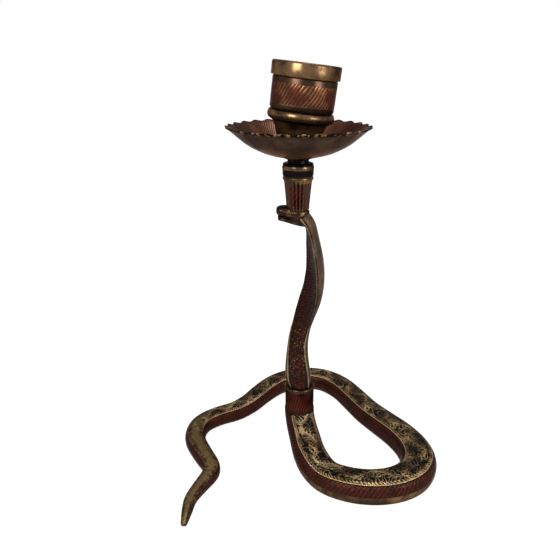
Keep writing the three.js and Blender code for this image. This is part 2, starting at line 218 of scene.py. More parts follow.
def skin_through(name, rings, along):
    """Extrudes a ring of points from station to station, closes both ends and lays the pattern on it."""
    count = len(rings[0])
    clear_selection()
    bpy.ops.mesh.primitive_circle_add(vertices=count, radius=MM, fill_type="NOTHING")
    piece = bpy.context.object
    piece.name = name
    for vertex, place in zip(piece.data.vertices, rings[0]):
        vertex.co = place
    bpy.ops.object.mode_set(mode="EDIT")
    for ring in rings[1:]:
        bpy.ops.mesh.extrude_region_move(TRANSFORM_OT_translate={"value": (0, 0, 0)})
        mesh = bmesh.from_edit_mesh(piece.data)
        mesh.verts.ensure_lookup_table()
        for vertex, place in zip(mesh.verts[-count:], ring):
            vertex.co = place
        bmesh.update_edit_mesh(piece.data)
    mesh = bmesh.from_edit_mesh(piece.data)
    mesh.verts.ensure_lookup_table()
    sheet = mesh.loops.layers.uv.new(UV_NAME)
    for face in mesh.faces:
        spots = [(corner.vert.index // count, corner.vert.index % count) for corner in face.loops]
        wraps = {k for _, k in spots} >= {0, count - 1}
        for corner, (ring, k) in zip(face.loops, spots):
            turn = 1.0 if wraps and k == 0 else k / count
            corner[sheet].uv = (along[ring], turn)
    for first, ring_points, end in ((0, rings[0], along[0]), (len(mesh.verts) - count, rings[-1], along[-1])):
        loop = [mesh.verts[first + k] for k in range(count)]
        middle = mesh.verts.new(sum(ring_points, Vector()) / count)
        for k in range(count):
            face = mesh.faces.new((loop[k], loop[(k + 1) % count], middle))
            for corner, turn in zip(face.loops, (k / count, (k + 1) / count, (k + 0.5) / count)):
                corner[sheet].uv = (end, turn)
        mesh.verts.ensure_lookup_table()
    bmesh.update_edit_mesh(piece.data)
    bpy.ops.mesh.select_all(action="SELECT")
    bpy.ops.mesh.normals_make_consistent(inside=False)
    bpy.ops.object.mode_set(mode="OBJECT")
    return piece


def press_metal(piece, change):
    """Moves each point of a piece to where the function puts it."""
    make_active(piece)
    for vertex in piece.data.vertices:
        vertex.co = change(vertex.co)
    piece.data.update()


class Finish:
    """One node material, built from plain steps."""

    def __init__(self, name):
        self.material = bpy.data.materials.new(name)
        self.material.use_nodes = True
        self.tree = self.material.node_tree
        self.surface = self.tree.nodes["Principled BSDF"]

    def put(self, socket, value):
        """Links or sets one socket."""
        if isinstance(value, bpy.types.NodeSocket):
            self.tree.links.new(value, socket)
        else:
            socket.default_value = value

    def math(self, operation, a, b=0.0):
        """One step of arithmetic on one or two values."""
        node = self.tree.nodes.new("ShaderNodeMath")
        node.operation = operation
        self.put(node.inputs[0], a)
        self.put(node.inputs[1], b)
        return node.outputs[0]

    def ease(self, value, low, high, start=0.0, end=1.0):
        """A smooth step from start to end while value goes from low to high."""
        node = self.tree.nodes.new("ShaderNodeMapRange")
        node.interpolation_type = "SMOOTHSTEP"
        for socket, number in zip(node.inputs[:5], (value, low, high, start, end)):
            self.put(socket, number)
        return node.outputs[0]

    def mix(self, share, first, second):
        """The first colour at share 0 and the second at share 1."""
        node = self.tree.nodes.new("ShaderNodeMix")
        node.data_type = "RGBA"
        self.put(node.inputs[0], share)
        self.put(node.inputs[6], first)
        self.put(node.inputs[7], second)
        return node.outputs[2]

    def object_place(self):
        """Object coordinates in metres."""
        return self.tree.nodes.new("ShaderNodeTexCoord").outputs["Object"]

    def pattern_place(self):
        """The piece's own pattern coordinates."""
        node = self.tree.nodes.new("ShaderNodeUVMap")
        node.uv_map = UV_NAME
        return node.outputs[0]

    def scaled(self, vector, scale=(1, 1, 1), location=(0, 0, 0)):
        """Coordinates scaled and moved."""
        node = self.tree.nodes.new("ShaderNodeMapping")
        self.put(node.inputs["Vector"], vector)
        node.inputs["Scale"].default_value = scale
        node.inputs["Location"].default_value = location
        return node.outputs[0]

    def split(self, vector):
        """The three parts of some coordinates."""
        node = self.tree.nodes.new("ShaderNodeSeparateXYZ")
        self.put(node.inputs[0], vector)
        return node.outputs

    def noise(self, vector, scale, detail, roughness=0.55):
        """Soft random patches, about 0 to 1."""
        node = self.tree.nodes.new("ShaderNodeTexNoise")
        self.put(node.inputs["Vector"], vector)
        node.inputs["Scale"].default_value = scale
        node.inputs["Detail"].default_value = detail
        node.inputs["Roughness"].default_value = roughness
        return node.outputs[0]

    def stripes(self, value, pitch, share, softness):
        """Repeating lines: 1 on the line, which takes its share of each pitch."""
        phase = self.math("FRACT", self.math("DIVIDE", value, pitch))
        off_centre = self.math("ABSOLUTE", self.math("SUBTRACT", phase, 0.5))
        return self.ease(off_centre, share / 2 + softness / 2, share / 2 - softness / 2)

    def line_at(self, value, centre, half_width, softness):
        """1 within half_width of centre."""
        away = self.math("ABSOLUTE", self.math("SUBTRACT", value, centre))
        return self.ease(away, half_width + softness, half_width)

    def bump(self, height, distance, strength):
        """Fine relief that only the light shows."""
        node = self.tree.nodes.new("ShaderNodeBump")
        node.inputs["Distance"].default_value = distance
        node.inputs["Strength"].default_value = strength
        self.put(node.inputs["Height"], height)
        self.tree.links.new(node.outputs[0], self.surface.inputs["Normal"])

    def result(self, colour, roughness, metallic):
        """The finished material, with edges of the brass kept from going white."""
        self.put(self.surface.inputs["Base Color"], colour)
        self.put(self.surface.inputs["Roughness"], roughness)
        self.put(self.surface.inputs["Metallic"], metallic)
        self.put(self.surface.inputs["Specular IOR Level"], 0.2)
        self.put(self.surface.inputs["Specular Tint"], (0.34, 0.29, 0.24, 1))
        return self.material


def rgba(colour):
    """A property's colour as a shader colour."""
    return (colour[0], colour[1], colour[2], 1.0)


def patina_of(finish, brass, patina, scale=160.0):
    """Brass with patches of brown patina, in the object's own coordinates."""
    place = finish.object_place()
    clouds = finish.noise(place, scale, 4.0, 0.6)
    return finish.mix(finish.ease(clouds, 0.38, 0.64), rgba(brass), rgba(patina)), clouds, place


def satin_brass(name, brass, patina, roughness=0.32):
    """Plain turned brass with tarnish and fine scratches round the piece."""
    finish = Finish(name)
    colour, clouds, place = patina_of(finish, brass, patina)
    scratches = finish.noise(finish.scaled(place, (1, 1, 14)), 420.0, 2.0)
    rough = finish.ease(clouds, 0.3, 0.7, roughness - 0.06, roughness + 0.14)
    finish.bump(scratches, 0.00004, 0.5)
    return finish.result(colour, rough, 0.92)


def body_enamel(settings):
    """Black and gold scrollwork on the back, red hatching on flanks, tail brass with a painted highlight on
    its ridge.
    """
    finish = Finish("engraved body brass")
    along, around = finish.split(finish.pattern_place())[:2]
    wear, clouds, place = patina_of(finish, settings.brass, settings.patina, 130.0)
    from_back = finish.math("ABSOLUTE", finish.math("SUBTRACT", around, 0.25))
    signed = finish.math("SUBTRACT", around, 0.25)

    wobble = finish.math("MULTIPLY", finish.math("SUBTRACT", finish.noise(place, 330.0, 2.0), 0.5), 0.3)
    run = finish.math("ADD", along, wobble)
    wave = finish.math("SINE", finish.math("MULTIPLY", run, 5.0))
    stem_place = finish.math("MULTIPLY", wave, 0.042)
    from_stem = finish.math("ABSOLUTE", finish.math("SUBTRACT", signed, stem_place))
    stem = finish.ease(from_stem, 0.0085, 0.0045)
    leaf_reach = finish.math("ADD", 0.046, finish.math("MULTIPLY", wave, 0.02))
    leaf = finish.ease(from_stem, leaf_reach, finish.math("SUBTRACT", leaf_reach, 0.006))
    barb_slant = finish.math("ADD", run, finish.math("MULTIPLY", from_stem, -3.4))
    barbs = finish.stripes(barb_slant, 0.11, 0.3, 0.2)
    scroll = finish.math("MAXIMUM", stem, finish.math("MULTIPLY", leaf, barbs))
    curls = finish.stripes(finish.noise(place, 170.0, 1.0), 0.105, 0.2, 0.22)
    scroll = finish.math("MAXIMUM", scroll, finish.math("MULTIPLY", curls, 0.8))

    comb_slant = finish.math("ADD", along, finish.math("MULTIPLY", from_back, 2.2))
    comb = finish.stripes(comb_slant, 0.088, 0.55, 0.2)
    comb_row = finish.line_at(from_back, 0.094, 0.014, 0.004)
    gold = finish.math("MAXIMUM", scroll, finish.math("MULTIPLY", comb, comb_row))
    rubbed = finish.ease(finish.noise(place, 1400.0, 3.0), 0.6, 0.7)
    gold = finish.math("MAXIMUM", gold, finish.math("MULTIPLY", rubbed, 0.5))
    engraved = finish.mix(finish.ease(clouds, 0.4, 0.6), rgba(settings.highlight), rgba(settings.brass))
    filled = finish.ease(finish.noise(place, 210.0, 3.0), 0.4, 0.6, 0.3, 1.0)
    gold = finish.math("MULTIPLY", gold, filled)
    back = finish.mix(gold, rgba(settings.black), engraved)

    hatch_line = finish.math("ADD", along, finish.math("MULTIPLY", around, 1.5))
    hatch = finish.stripes(hatch_line, 0.105, 0.44, 0.24)
    smoulder = finish.noise(place, 260.0, 3.0)
    red_share = finish.math("MULTIPLY", hatch, finish.ease(smoulder, 0.3, 0.58, 0.1, 0.75))
    flank_ground = finish.mix(finish.ease(clouds, 0.45, 0.75, 0.0, 0.25), rgba(settings.brown), wear)
    flank = finish.mix(red_share, flank_ground, rgba(settings.red))

    scales = finish.tree.nodes.new("ShaderNodeTexVoronoi")
    finish.put(scales.inputs["Vector"], place)
    scales.inputs["Scale"].default_value = 900.0
    scale_share = finish.ease(scales.outputs["Distance"], 0.3, 0.62)
    tail_brass = finish.mix(finish.math("MULTIPLY", scale_share, 0.8), wear, rgba(settings.brown))
    # A painted highlight along the tail's ridge, in a greenish gold that is partly the metal's own tone
    ridge_tone_and_highlight = finish.ease(from_back, 0.07, 0.02, 0.0, 0.5)
    tail_brass = finish.mix(ridge_tone_and_highlight, tail_brass, rgba(settings.green_gold_and_highlight))
    on_body = finish.ease(along, settings.tail_fade - 2.0, settings.tail_fade + 1.5)
    to_tail_end = finish.ease(along, settings.tail_fade - 7.0, settings.tail_fade - 3.5)
    flank = finish.mix(to_tail_end, tail_brass, flank)
    colour = finish.mix(finish.ease(from_back, 0.118, 0.124), finish.mix(on_body, tail_brass, back), flank)
    dark_line = finish.math("MULTIPLY", finish.line_at(from_back, 0.124, 0.0045, 0.003), on_body)
    colour = finish.mix(dark_line, colour, rgba(settings.black))
    gold_line = finish.math("MULTIPLY", finish.line_at(from_back, 0.1145, 0.0032, 0.0025), on_body)
    colour = finish.mix(gold_line, colour, rgba(settings.highlight))
    colour = finish.mix(finish.ease(from_back, 0.285, 0.32), colour, wear)

    cut = finish.math("MULTIPLY", finish.math("ADD", gold, finish.math("MULTIPLY", hatch, 0.5)), on_body)
    finish.bump(finish.math("ADD", cut, finish.math("MULTIPLY", smoulder, 0.25)), 0.00018, 0.6)
    rough = finish.ease(clouds, 0.3, 0.7, 0.28, 0.46)
    return finish.result(colour, rough, 0.8)


def hood_enamel(settings):
    """Red engraved stalk, red-brown hollow belly, bright edges and a grey-brown back with streaks."""
    finish = Finish("engraved hood brass")
    height, around = finish.split(finish.pattern_place())[:2]
    wear, clouds, place = patina_of(finish, settings.brass, settings.patina, 150.0)
    turned = finish.math("FRACT", finish.math("ADD", around, 0.25))
    from_belly = finish.math("ABSOLUTE", finish.math("SUBTRACT", turned, 0.5))
    streaks = finish.noise(finish.scaled(place, (1, 1, 0.1)), 620.0, 3.0)
    back = finish.mix(finish.ease(streaks, 0.42, 0.58), rgba(settings.grey), wear)
    back_rise = finish.math("SUBTRACT", height, finish.math("MULTIPLY", from_belly, 26.0))
    back_rows = finish.stripes(back_rise, 1.4, 0.28, 0.3)
    back = finish.mix(finish.math("MULTIPLY", back_rows, 0.5), back, rgba(settings.patina))
    scratch = finish.noise(place, 800.0, 3.0, 0.7)
    belly = finish.mix(finish.ease(scratch, 0.36, 0.54), rgba(settings.red), rgba(settings.brown))
    scale_rise = finish.math("ADD", height, finish.math("MULTIPLY", from_belly, 14.0))
    scale_rows = finish.stripes(scale_rise, 1.15, 0.45, 0.3)
    belly = finish.mix(finish.math("MULTIPLY", scale_rows, 0.8), belly, rgba(settings.black))
    inward = finish.ease(height, 70.0, 50.0, 0.0, 0.09)
    from_edge = finish.math("ADD", from_belly, inward)
    colour = finish.mix(finish.ease(from_edge, 0.222, 0.208), back, belly)
    groove = finish.line_at(from_edge, 0.205, 0.009, 0.006)
    colour = finish.mix(finish.math("MULTIPLY", groove, 0.9), colour, rgba(settings.black))
    edge = finish.line_at(from_edge, 0.237, 0.003, 0.007)
    edge = finish.math("MULTIPLY", edge, finish.ease(scratch, 0.36, 0.56, 0.3, 0.9))
    colour = finish.mix(edge, colour, rgba(settings.highlight))
    side_groove = finish.line_at(from_edge, 0.275, 0.006, 0.006)
    colour = finish.mix(finish.math("MULTIPLY", side_groove, 0.8), colour, rgba(settings.black))
    speck = finish.ease(finish.noise(place, 1500.0, 2.0), 0.6, 0.68)
    low_stalk = finish.math("MULTIPLY", finish.ease(height, 66.0, 58.0), finish.ease(height, 36.0, 44.0))
    speck_share = finish.math("MULTIPLY", finish.math("MULTIPLY", speck, low_stalk), 0.4)
    colour = finish.mix(speck_share, colour, rgba(settings.highlight))
    raised = finish.math("ADD", scratch, edge)
    sunk = finish.math("ADD", groove, side_groove)
    finish.bump(finish.math("SUBTRACT", raised, sunk), 0.00016, 0.5)
    rough = finish.ease(clouds, 0.3, 0.7, 0.26, 0.42)
    return finish.result(colour, rough, 0.72)


def head_brass(settings):
    """Brown brass of the head, with fine scales and light streaks towards the hood."""
    finish = Finish("head brass")
    wear, clouds, place = patina_of(finish, settings.brass, settings.patina, 240.0)
    streaks = finish.noise(finish.scaled(place, (0.12, 1, 1)), 900.0, 3.0)
    colour = finish.mix(finish.ease(streaks, 0.5, 0.64), rgba(settings.brown), wear)
    finish.bump(streaks, 0.0002, 0.7)
    return finish.result(colour, finish.ease(clouds, 0.3, 0.7, 0.28, 0.45), 0.75)


def pan_brass(settings):
    """Mellow brass, darker to the rim, with fine engraved rays inside and a brown stain outside."""
    finish = Finish("pan brass")
    wear, clouds, place = patina_of(finish, settings.grey, settings.patina, 90.0)
    centred = finish.scaled(place, location=(-POST_AXIS.x, -POST_AXIS.y, -pan_low.z))
    x, y, height = finish.split(centred)
    turns = finish.math("DIVIDE", finish.math("ARCTAN2", y, x), 2 * math.pi)
    squares = finish.math("ADD", finish.math("MULTIPLY", x, x), finish.math("MULTIPLY", y, y))
    radius = finish.math("SQRT", squares)
    upward = finish.split(finish.tree.nodes.new("ShaderNodeNewGeometry").outputs["Normal"])[2]
    inside = finish.ease(upward, 0.1, 0.3)
    swirl = finish.math("ADD", turns, finish.math("MULTIPLY", radius, 2.2))
    rays = finish.stripes(swirl, 1 / 150, 0.45, 0.3)
    lined = finish.math("MULTIPLY", finish.math("MULTIPLY", rays, inside), finish.ease(radius, 0.013, 0.016))
    warm = finish.mix(finish.ease(height, 0.0005, 0.006), rgba(settings.brass), wear)
    colour = finish.mix(finish.math("MULTIPLY", lined, 0.55), warm, rgba(settings.red))
    rim = finish.ease(radius, 0.0258, 0.0268)
    nick = finish.ease(finish.noise(place, 700.0, 2.0), 0.5, 0.6)
    colour = finish.mix(rim, colour, finish.mix(nick, rgba(settings.black), rgba(settings.brass)))
    stain_place = finish.scaled(place, location=(-POST_AXIS.x, -POST_AXIS.y, 0))
    blotches = finish.ease(finish.noise(stain_place, 90.0, 3.0), 0.5, 0.66)
    stain = finish.math("MULTIPLY", blotches, finish.ease(radius, 0.019, 0.006))
    colour = finish.mix(stain, colour, rgba(settings.brown))
    finish.bump(finish.math("ADD", clouds, lined), 0.00012, 0.4)
    return finish.result(colour, finish.ease(clouds, 0.3, 0.7, 0.3, 0.44), 0.88)


def banded_enamel(name, settings, foot, lean, cuts_round, climb, bands, cut_sector=(-0.5, 0.5)):
    """Brass with enamel round a turned piece, measured up its own axis from the centre of its foot.

    A band is its low and high edge, the name of its enamel, and whether the enamel lies in slanted cuts.
    The cuts keep to a sector, from and to in turns.
    """
    finish = Finish(name)
    colour, clouds, place = patina_of(finish, settings.brass, settings.patina, 170.0)
    centred = finish.scaled(place, location=(-foot.x, -foot.y, -foot.z))
    righting = finish.tree.nodes.new("ShaderNodeMapping")
    finish.put(righting.inputs["Vector"], centred)
    righting.inputs["Rotation"].default_value = (0, -lean, 0)
    x, y, height = finish.split(righting.outputs[0])
    turns = finish.math("DIVIDE", finish.math("ARCTAN2", y, x), 2 * math.pi)
    slanted = finish.math("SUBTRACT", turns, finish.math("MULTIPLY", height, climb))
    uneven = finish.math("MULTIPLY", finish.math("SUBTRACT", finish.noise(place, 260.0, 2.0), 0.5), 0.012)
    cuts = finish.stripes(finish.math("ADD", slanted, uneven), 1 / cuts_round, 0.46, 0.26)
    start, end = cut_sector
    past_start = finish.ease(turns, start - 0.01, start)
    before_end = finish.ease(turns, end + 0.01, end)
    cuts = finish.math("MULTIPLY", cuts, finish.math("MULTIPLY", past_start, before_end))
    soft = 0.25 * MM
    cut_area = 0.0
    for low, high, paint, in_cuts in bands:
        above_low = finish.ease(height, low, low + soft)
        below_high = finish.ease(height, high, high - soft)
        inside = finish.math("MULTIPLY", above_low, below_high)
        share = finish.math("MULTIPLY", inside, cuts) if in_cuts else inside
        cut_area = finish.math("MAXIMUM", cut_area, share) if in_cuts else cut_area
        colour = finish.mix(share, colour, rgba(getattr(settings, paint)))
    finish.bump(finish.math("SUBTRACT", finish.math("MULTIPLY", clouds, 0.3), cut_area), 0.00014, 0.5)
    return finish.result(colour, finish.ease(clouds, 0.3, 0.7, 0.2, 0.36), 0.85)


class HolderMetals(bpy.types.PropertyGroup):
    """Colours of the brass and its enamels."""
    brass: bpy.props.FloatVectorProperty(
        name="Brass", description="Bare brass where hands have kept it clean", subtype="COLOR",
        default=(0.125, 0.074, 0.034), min=0, max=1)
    patina: bpy.props.FloatVectorProperty(
        name="Patina", description="Brown tarnish on the brass", subtype="COLOR",
        default=(0.036, 0.02, 0.012), min=0, max=1)
    highlight: bpy.props.FloatVectorProperty(
        name="Rubbed edge", description="Bright brass on rubbed edges", subtype="COLOR",
        default=(0.3, 0.205, 0.105), min=0, max=1)
    # Partly the tail's greenish tone and partly a painted highlight along the top of its ridge
    green_gold_and_highlight: bpy.props.FloatVectorProperty(
        name="Green gold", description="Greenish tone along the back of the tail", subtype="COLOR",
        default=(0.115, 0.085, 0.034), min=0, max=1)
    grey: bpy.props.FloatVectorProperty(
        name="Grey metal", description="Grey-brown back of the hood", subtype="COLOR",
        default=(0.062, 0.043, 0.032), min=0, max=1)
    brown: bpy.props.FloatVectorProperty(
        name="Brown ground", description="Dark ground between the cuts", subtype="COLOR",
        default=(0.015, 0.0072, 0.0048), min=0, max=1)
    red: bpy.props.FloatVectorProperty(
        name="Red enamel", description="Red enamel in the cuts", subtype="COLOR",
        default=(0.07, 0.009, 0.006), min=0, max=1)
    black: bpy.props.FloatVectorProperty(
        name="Black enamel", description="Black ground of the scrollwork and rings", subtype="COLOR",
        default=(0.004, 0.0033, 0.003), min=0, max=1)
    tail_fade: bpy.props.FloatProperty(
        name="Tail fade", description="Place along the body, in body widths, where the enamel starts",
        default=10.0, min=0)


class HolderSizes(bpy.types.PropertyGroup):
    """Fineness and the few sizes a user would change."""
    turned_segments: bpy.props.IntProperty(
        name="Turned segments", description="Faces round each turned piece", default=112, min=16)
    scallops: bpy.props.IntProperty(
        name="Scallops", description="Waves round the pan's edge", default=28, min=3)
    scallop_rise: bpy.props.FloatProperty(
        name="Scallop rise", description="Height of each wave of the pan's edge", unit="LENGTH",
        default=0.26 * MM, min=0)
    cup_lean: bpy.props.FloatProperty(
        name="Cup lean", description="Lean of the loose cup to the right", subtype="ANGLE",
        default=math.radians(6.8))


class HolderStage(bpy.types.PropertyGroup):
    """Lens and place of the camera."""
    lens: bpy.props.FloatProperty(
        name="Lens", description="Focal length in millimetres", unit="CAMERA", default=41.8)
    camera_pitch: bpy.props.FloatProperty(
        name="Camera pitch", description="Angle by which the camera looks down", subtype="ANGLE",
        default=math.radians(19.4))
    camera_height: bpy.props.FloatProperty(
        name="Camera height", description="Height above the table", unit="LENGTH", default=170 * MM)
    camera_back: bpy.props.FloatProperty(
        name="Camera distance", description="Distance in front of the neck", unit="LENGTH", default=251 * MM)
    camera_left: bpy.props.FloatProperty(
        name="Camera offset", description="Distance to the left of the neck", unit="LENGTH", default=8.5 * MM)


def body_rings():
    """Rings of the lying body and its neck, and each one's place along the body in body widths."""
    ground = [(Vector((x, y, BODY_FLAT * w * BODY_HEIGHT_RATIO / 2)), Vector((w, w * BODY_HEIGHT_RATIO, 0)))
              for x, y, w in GROUND_STATIONS]
    neck = [(Vector((x, y, z)), Vector((w, w * NECK_HEIGHT_RATIO, 0))) for x, y, z, w in NECK_STATIONS]
    spine = [place for place, _ in ground + neck]
    sizes = [size for _, size in ground + neck]
    steps = (len(spine) - 1) * BODY_RINGS_PER_STATION
    upright = Vector((0, 0, 1))
    rings, along, travelled, last = [], [], 0.0, None
    for i in range(steps + 1):
        t = i / steps
        place = centripetal_point(spine, t)
        tangent = upright.copy() if i == steps else centripetal_tangent(spine, t)
        heading = Vector((tangent.x, tangent.y, 0))
        heading += NECK_HEADING * max(0, STEEP_NECK - heading.length)
        lateral = heading.cross(upright).normalized()
        up = lateral.cross(tangent).normalized()
        size = centripetal_point(sizes, t) * SKIN_SHARE
        if last is not None:
            travelled += (place - last).length / max(size.x, LEAST_PATTERN_WIDTH)
        last = place
        ring = []
        for k in range(BODY_POINTS):
            angle = 2 * math.pi * k / BODY_POINTS
            across = -super_round(math.cos(angle), ACROSS_POWER) * size.x / 2
            rise = max(super_round(math.sin(angle), UPWARD_POWER), -BODY_FLAT) * size.y / 2
            spot = place + lateral * across + up * rise
            spot.z = max(spot.z, 0)
            ring.append(spot * MM + NECK_AXIS)
        rings.append(ring)
        along.append(travelled)
    return rings, along


def hood_rings():
    """Rings of the stalk and the hollow hood, and each one's height in millimetres."""
    line = [Vector((s[0], 0, s[1])) for s in HOOD_STATIONS]
    sizes = [Vector(s[2:5]) for s in HOOD_STATIONS]
    per_station = 4
    steps = (len(line) - 1) * per_station
    side = 16
    rings, heights = [], []
    for i in range(steps + 1):
        t = i / steps
        centre = centripetal_point(line, t)
        half, back, belly = centripetal_point(sizes, t)
        low = min(i // per_station, len(line) - 2)
        share = i / per_station - low
        turn = HOOD_STATIONS[low][5] * (1 - share) + HOOD_STATIONS[low + 1][5] * share
        tangent = Vector((0, 0, 1)) if i == 0 else centripetal_tangent(line, t)
        angle = math.radians(turn)
        lateral = tangent.cross(Vector((-math.cos(angle), -math.sin(angle), 0))).normalized()
        outward = lateral.cross(tangent).normalized()
        ring = []
        for k in range(side + 1):
            u = -math.cos(math.pi * k / side)
            n = belly * max(0, 1 - u * u) ** (0.5 if belly > 0 else 0.8)
            ring.append(centre + lateral * half * u + outward * n)
        for k in range(1, side):
            u = math.cos(math.pi * k / side)
            ring.append(centre + lateral * half * u - outward * back * math.sqrt(max(0, 1 - u * u)))
        rings.append([spot * MM + NECK_AXIS for spot in ring])
        heights.append(centre.z)
    return rings, heights


class HOLDER_OT_snake_body(bpy.types.Operator):
    """Model the looped body with its waving tail and rising neck"""
    bl_idname = "holder.snake_body"
    bl_label = "Snake Body"

    def execute(self, context):
        rings, along = body_rings()
        piece = skin_through("looped_body", rings, along)
        apply_subdivision(piece, 2)
        shade_round(piece, 60)
        finish_piece(piece, "base", "snake_body", body_enamel(context.scene.holder_metals))
        return {"FINISHED"}


class HOLDER_OT_neck_ferrule(bpy.types.Operator):
    """Model the enamelled band round the joint"""
    bl_idname = "holder.neck_ferrule"
    bl_label = "Neck Ferrule"

    def execute(self, context):
        outer = (ferrule_high.x - ferrule_low.x) / 2
        low, high = ferrule_low.z, ferrule_high.z
        inner = outer - 1.1 * MM
        wall = outer - 0.25 * MM
        profile = [
            (inner, low), (outer - 0.2 * MM, low), (outer, low + 0.2 * MM), (outer, low + 0.8 * MM),
            (wall, low + 1.2 * MM), (wall, high - 1.6 * MM), (outer, high - 1.2 * MM),
            (outer, high - 0.4 * MM), (outer - 0.3 * MM, high), (inner, high),
        ]
        piece = turned_piece("joint_ferrule", profile, context.scene.holder_sizes.turned_segments, NECK_AXIS)
        shade_round(piece)
        metals = context.scene.holder_metals
        bands = [
            (-1 * MM, 14 * MM, "patina", False), (0.3 * MM, 9.9 * MM, "brown", False),
            (1.5 * MM, 9.4 * MM, "red", True),
        ]
        foot = NECK_AXIS + Vector((0, 0, low))
        material = banded_enamel("ferrule enamel", metals, foot, lean=0, cuts_round=34, climb=6.0,
                                 bands=bands)
        finish_piece(piece, "base", "neck_ferrule", material)
        return {"FINISHED"}


def oval_ring(x, z, wide, high):
    """One upright oval section of a jaw, in millimetres from the neck's axis."""
    angles = [2 * math.pi * k / JAW_POINTS for k in range(JAW_POINTS)]
    return [Vector((x, -math.cos(a) * wide, z + math.sin(a) * high)) * MM + NECK_AXIS for a in angles]


def jaw_piece(name, stations, material):
    """A smooth jaw through oval sections, riding with the hood."""
    rings = [oval_ring(*station) for station in stations]
    piece = skin_through(name, rings, [station[0] for station in stations])
    apply_subdivision(piece, 2)
    shade_round(piece, 60)
    finish_piece(piece, "hood", "cobra_hood", material)


class HOLDER_OT_cobra_hood(bpy.types.Operator):
    """Model the stalk and the twisted hollow hood"""
    bl_idname = "holder.cobra_hood"
    bl_label = "Cobra Hood"

    def execute(self, context):
        rings, heights = hood_rings()
        piece = skin_through("twisted_hood", rings, heights)
        apply_subdivision(piece, 2)
        shade_round(piece, 50)
        finish_piece(piece, "hood", "cobra_hood", hood_enamel(context.scene.holder_metals))
        return {"FINISHED"}


class HOLDER_OT_cobra_head(bpy.types.Operator):
    """Model the two jaws, the eyes and the crown that carries the post"""
    bl_idname = "holder.cobra_head"
    bl_label = "Cobra Head"

    def execute(self, context):
        metals = context.scene.holder_metals
        brass = head_brass(metals)
        snout = HEAD_BACK - HEAD_LENGTH
        # Each section of a jaw: x, height of its middle, half its width and half its height
        jaw_piece("upper_jaw", [
            (HEAD_BACK, CROWN_Z - 2, 3.6, 2), (HEAD_BACK - 3, CROWN_Z - 2, 4.9, 3),
            (HEAD_BACK - 6.5, CROWN_Z - 1.2, 4.9, 2.8), (snout + 2.6, CROWN_Z - 0.3, 4.1, 2.4),
            (snout, CROWN_Z - 0.2, 3.3, 1.9), (snout - 0.7, CROWN_Z - 0.2, 2.2, 1.1),
        ], brass)
        jaw_piece("lower_jaw", [
            (HEAD_BACK, CROWN_Z - 5, 3.4, 2), (HEAD_BACK - 3, CROWN_Z - 4.6, 4.4, 1.8),
            (HEAD_BACK - 6.5, CROWN_Z - 3.9, 4.2, 1.5), (snout + 2.6, CROWN_Z - 3.2, 3.6, 1.4),
            (snout + 0.5, CROWN_Z - 3, 2.9, 1.3), (snout - 0.1, CROWN_Z - 3, 2, 0.8),
        ], brass)
        crown_outline = [
            (2.4, CROWN_Z - 4), (4.3, CROWN_Z - 4), (4.7, CROWN_Z - 3), (4.7, CROWN_Z - 0.4), (4.4, CROWN_Z),
            (2.4, CROWN_Z),
        ]
        crown = turned_piece("crown", [(r * MM, z * MM) for r, z in crown_outline], 48, POST_AXIS)
        shade_round(crown)
        finish_piece(crown, "hood", "cobra_hood", brass)
        eye_outline = [(0, -0.7), (0.85, -0.5), (0.95, 0), (0.7, 0.12), (0.6, 0.38), (0, 0.55)]
        eye_profile = [(r * MM, h * MM) for r, h in eye_outline]
        for side, way in (("left", -1), ("right", 1)):
            centre = NECK_AXIS + Vector((snout + 3.6, way * 4.3, CROWN_Z + 0.2)) * MM
            eye = turned_piece(side + "_eye", eye_profile, 24, Vector((0, 0, 0)))
            turn = Matrix.Rotation(-way * math.pi / 2, 4, "X")
            eye.data.transform(Matrix.Translation(centre) @ turn)
            shade_round(eye)
            finish_piece(eye, "hood", "cobra_hood", brass)
        return {"FINISHED"}


class HOLDER_OT_candle_post(bpy.types.Operator):
    """Model the fluted post with its gold and black rings"""
    bl_idname = "holder.candle_post"
    bl_label = "Candle Post"

    def execute(self, context):
        foot = post_high.z - POST_HEIGHT * MM
        cone_top = 11.6
        flutes = 20
        flute_depth = 0.22 * MM
        outline = [
            (1.9, 0.2), (4.3, 0), (4.5, 0.3), (4.55, 0.8), (4.6, 2), (4.7, 3), (4.85, 4.8), (5, 6.5),
            (5.2, 8.4), (5.35, 10), (5.5, 11), (5.6, cone_top), (5.95, 12), (6, 12.4), (5.95, 12.9),
            (5.7, 13.2), (5.95, 13.5), (6.05, 13.9), (6.1, 16), (6.18, 16.2), (6.2, 16.6), (6.15, 17),
            (5.95, 17.3), (5.95, 18.1), (5.6, 18.3), (4.3, 18.4), (4.1, POST_HEIGHT), (1.9, POST_HEIGHT),
        ]
        piece = turned_piece("fluted_post", [(r * MM, foot + h * MM) for r, h in outline], 160, POST_AXIS)

        def flute(spot):
            """Presses the flutes into the outside of the cone."""
            flat = Vector((spot.x - POST_AXIS.x, spot.y - POST_AXIS.y))
            level = (spot.z - foot) / MM
            on_cone = flat.length > 4 * MM and 0.5 < level < cone_top - 0.4
            if not on_cone:
                return spot
            wave = 1 + math.cos(flutes * math.atan2(flat.y, flat.x))
            shrink = 1 - flute_depth * wave ** 1.6 / flat.length
            return Vector((POST_AXIS.x + flat.x * shrink, POST_AXIS.y + flat.y * shrink, spot.z))

        press_metal(piece, flute)
        shade_round(piece)
        bands = [
            (0.2 * MM, 11 * MM, "patina", False), (1.6 * MM, 9.6 * MM, "red", True),
            (13.3 * MM, 16.1 * MM, "black", False), (17.2 * MM, 20 * MM, "black", False),
        ]
        metals = context.scene.holder_metals
        base = Vector((POST_AXIS.x, POST_AXIS.y, foot))
        material = banded_enamel("post enamel", metals, base, lean=0, cuts_round=34, climb=12.0,
                                 bands=bands, cut_sector=(-0.36, -0.19))
        finish_piece(piece, "hood", "candle_post", material)
        return {"FINISHED"}


